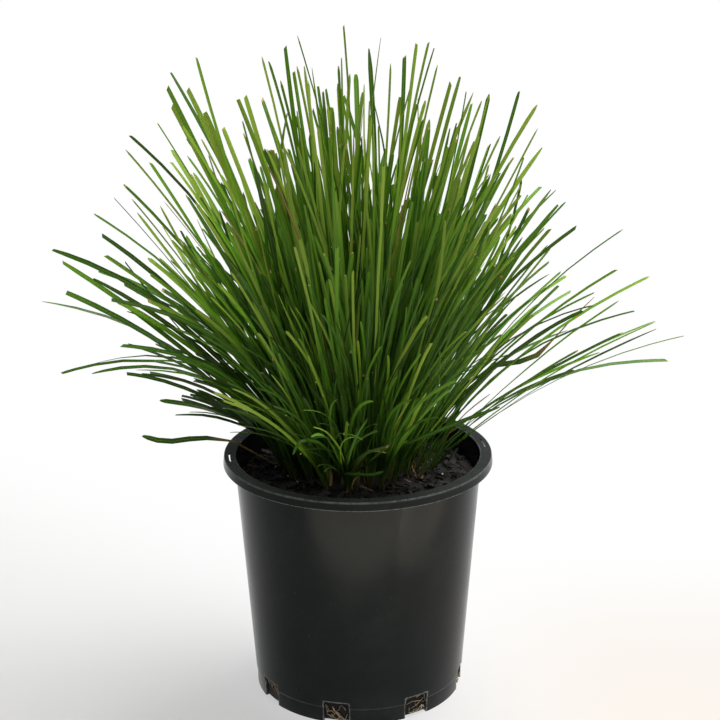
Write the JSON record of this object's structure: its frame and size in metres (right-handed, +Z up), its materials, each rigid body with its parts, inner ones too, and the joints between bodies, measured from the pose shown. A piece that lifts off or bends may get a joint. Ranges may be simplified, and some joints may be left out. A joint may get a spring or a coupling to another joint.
{
  "type": "potted ornamental grass",
  "caption": "Clump of strap-leaved ornamental grass growing in a black plastic nursery pot, standing free as a patio or garden plant.",
  "frame": {"origin": "on the ground under the middle of the pot", "axes": "+Z up, the clump's tallest direction; -Y is the front that the picture shows, +X to its right"},
  "size_m": [0.4585, 0.4115, 0.497],
  "materials": {
    "pot_plastic": "satin black injection-moulded polypropylene, scuffed and dusty near the foot",
    "bark_mix": "damp dark composted bark with pale perlite grains",
    "leaf": "fresh green strap leaf, satin, finely ribbed along its length"
  },
  "bodies": {
    "root": {"pot": "pot_plastic", "potting_mix": "bark_mix", "shoot_01": "leaf", "shoot_02": "leaf", "shoot_03": "leaf", "shoot_04": "leaf", "shoot_05": "leaf", "shoot_06": "leaf", "shoot_07": "leaf", "shoot_08": "leaf", "shoot_09": "leaf", "shoot_10": "leaf", "shoot_11": "leaf", "shoot_12": "leaf", "shoot_13": "leaf", "shoot_14": "leaf", "shoot_15": "leaf", "shoot_16": "leaf", "shoot_17": "leaf", "shoot_18": "leaf", "shoot_19": "leaf", "shoot_20": "leaf", "shoot_21": "leaf", "shoot_22": "leaf", "shoot_23": "leaf", "shoot_24": "leaf", "shoot_25": "leaf", "shoot_26": "leaf", "shoot_27": "leaf", "shoot_28": "leaf", "shoot_29": "leaf", "shoot_30": "leaf", "shoot_31": "leaf", "shoot_32": "leaf", "shoot_33": "leaf", "shoot_34": "leaf", "shoot_35": "leaf", "shoot_36": "leaf", "shoot_37": "leaf", "shoot_38": "leaf", "shoot_39": "leaf", "shoot_40": "leaf", "shoot_41": "leaf", "shoot_42": "leaf", "shoot_43": "leaf", "shoot_44": "leaf", "shoot_45": "leaf", "shoot_46": "leaf", "shoot_47": "leaf", "shoot_48": "leaf", "shoot_49": "leaf", "shoot_50": "leaf", "shoot_51": "leaf", "shoot_52": "leaf", "shoot_53": "leaf", "shoot_54": "leaf", "shoot_55": "leaf", "shoot_56": "leaf", "shoot_57": "leaf", "shoot_58": "leaf"}
  },
  "joints": []
}
